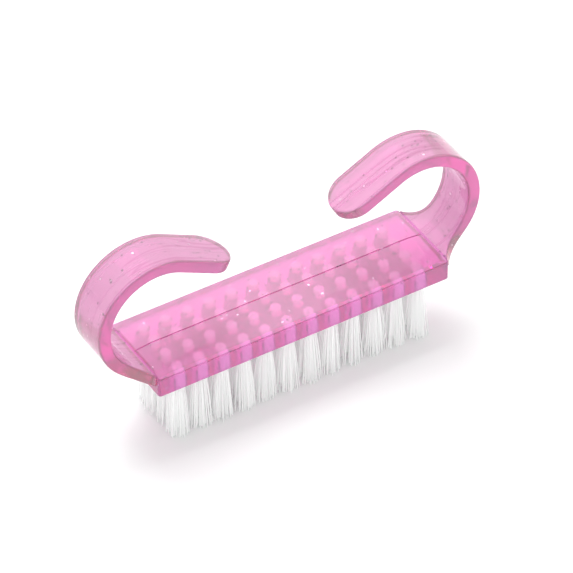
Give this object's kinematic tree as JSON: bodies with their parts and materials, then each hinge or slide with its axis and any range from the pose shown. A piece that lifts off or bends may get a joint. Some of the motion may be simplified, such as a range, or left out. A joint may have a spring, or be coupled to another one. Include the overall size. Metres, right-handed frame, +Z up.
{
  "type": "acrylic nail brush",
  "caption": "Hand nail brush with a tinted clear plastic body, curled finger handles at both ends and tufts of nylon bristles under its plate.",
  "frame": {"origin": "on the ground under the middle of the plate, where the bristle tips touch", "axes": "+X along the plate, +Y across it, +Z up from the bristle tips to the handles"},
  "size_m": [0.0718, 0.0158, 0.0353],
  "materials": {
    "tinted_plastic": "clear pink moulded plastic with a sparse glitter, polished",
    "bristle_nylon": "translucent white nylon filaments"
  },
  "bodies": {
    "root": {"body": "tinted_plastic", "tuft_r1_c01": "bristle_nylon", "tuft_r1_c02": "bristle_nylon", "tuft_r1_c03": "bristle_nylon", "tuft_r1_c04": "bristle_nylon", "tuft_r1_c05": "bristle_nylon", "tuft_r1_c06": "bristle_nylon", "tuft_r1_c07": "bristle_nylon", "tuft_r1_c08": "bristle_nylon", "tuft_r1_c09": "bristle_nylon", "tuft_r1_c10": "bristle_nylon", "tuft_r1_c11": "bristle_nylon", "tuft_r1_c12": "bristle_nylon", "tuft_r2_c01": "bristle_nylon", "tuft_r2_c02": "bristle_nylon", "tuft_r2_c03": "bristle_nylon", "tuft_r2_c04": "bristle_nylon", "tuft_r2_c05": "bristle_nylon", "tuft_r2_c06": "bristle_nylon", "tuft_r2_c07": "bristle_nylon", "tuft_r2_c08": "bristle_nylon", "tuft_r2_c09": "bristle_nylon", "tuft_r2_c10": "bristle_nylon", "tuft_r2_c11": "bristle_nylon", "tuft_r2_c12": "bristle_nylon", "tuft_r3_c01": "bristle_nylon", "tuft_r3_c02": "bristle_nylon", "tuft_r3_c03": "bristle_nylon", "tuft_r3_c04": "bristle_nylon", "tuft_r3_c05": "bristle_nylon", "tuft_r3_c06": "bristle_nylon", "tuft_r3_c07": "bristle_nylon", "tuft_r3_c08": "bristle_nylon", "tuft_r3_c09": "bristle_nylon", "tuft_r3_c10": "bristle_nylon", "tuft_r3_c11": "bristle_nylon", "tuft_r3_c12": "bristle_nylon", "tuft_r4_c01": "bristle_nylon", "tuft_r4_c02": "bristle_nylon", "tuft_r4_c03": "bristle_nylon", "tuft_r4_c04": "bristle_nylon", "tuft_r4_c05": "bristle_nylon", "tuft_r4_c06": "bristle_nylon", "tuft_r4_c07": "bristle_nylon", "tuft_r4_c08": "bristle_nylon", "tuft_r4_c09": "bristle_nylon", "tuft_r4_c10": "bristle_nylon", "tuft_r4_c11": "bristle_nylon", "tuft_r4_c12": "bristle_nylon"}
  },
  "joints": []
}
